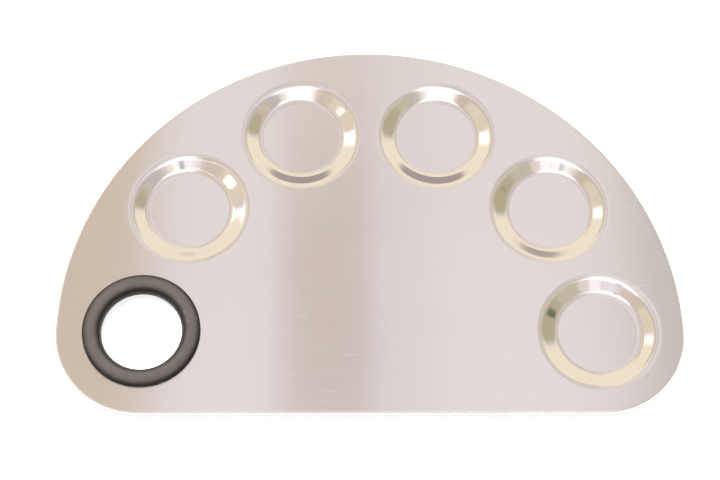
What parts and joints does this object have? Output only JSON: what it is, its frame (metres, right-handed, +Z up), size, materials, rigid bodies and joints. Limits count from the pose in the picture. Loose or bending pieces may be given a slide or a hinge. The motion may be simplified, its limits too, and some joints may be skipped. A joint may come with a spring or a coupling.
{
  "type": "mixing palette",
  "caption": "Half-moon stainless steel mixing palette with shallow round cups pressed along its arc and a rubber-lined thumb hole.",
  "frame": {"origin": "under the middle of the palette's outline, on the surface that the cups' undersides rest on", "axes": "+X from the thumb hole towards the cup at the other end of the straight edge, +Y from the straight front edge towards the arc, +Z up, out of the cups"},
  "size_m": [0.24, 0.1528, 0.0067],
  "materials": {
    "brushed_steel": "brushed on the flats, bright on the cup walls",
    "black_rubber": "satin"
  },
  "bodies": {
    "root": {"palette_plate": "brushed_steel", "thumb_grommet": "black_rubber"}
  },
  "joints": []
}
